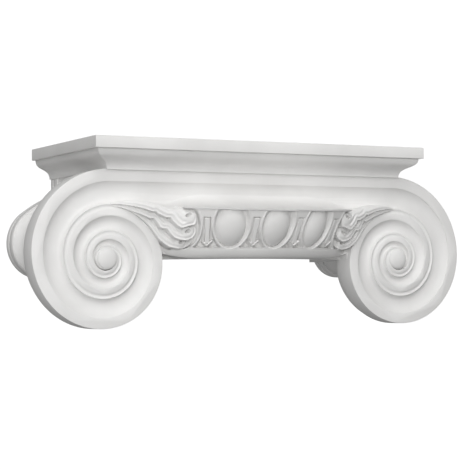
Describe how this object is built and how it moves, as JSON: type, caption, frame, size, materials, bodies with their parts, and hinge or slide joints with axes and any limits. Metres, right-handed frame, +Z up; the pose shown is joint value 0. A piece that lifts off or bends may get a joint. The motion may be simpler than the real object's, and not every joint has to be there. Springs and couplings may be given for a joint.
{
  "type": "ionic half capital",
  "caption": "Ionic half capital for a half-round column: moulded abacus, two spiral volutes with bolsters, egg-and-dart echinus and corner palmettes, flat wall back.",
  "frame": {"origin": "on the flat wall face, in the middle of the width, 75 mm over the level of the volute eyes", "axes": "+X to the viewer's right along the front, +Y into the wall, +Z up"},
  "size_m": [0.4902, 0.1975, 0.1856],
  "materials": {
    "primed_moulding": "white primer coat, matt to satin"
  },
  "bodies": {
    "root": {"capital": "primed_moulding"}
  },
  "joints": []
}
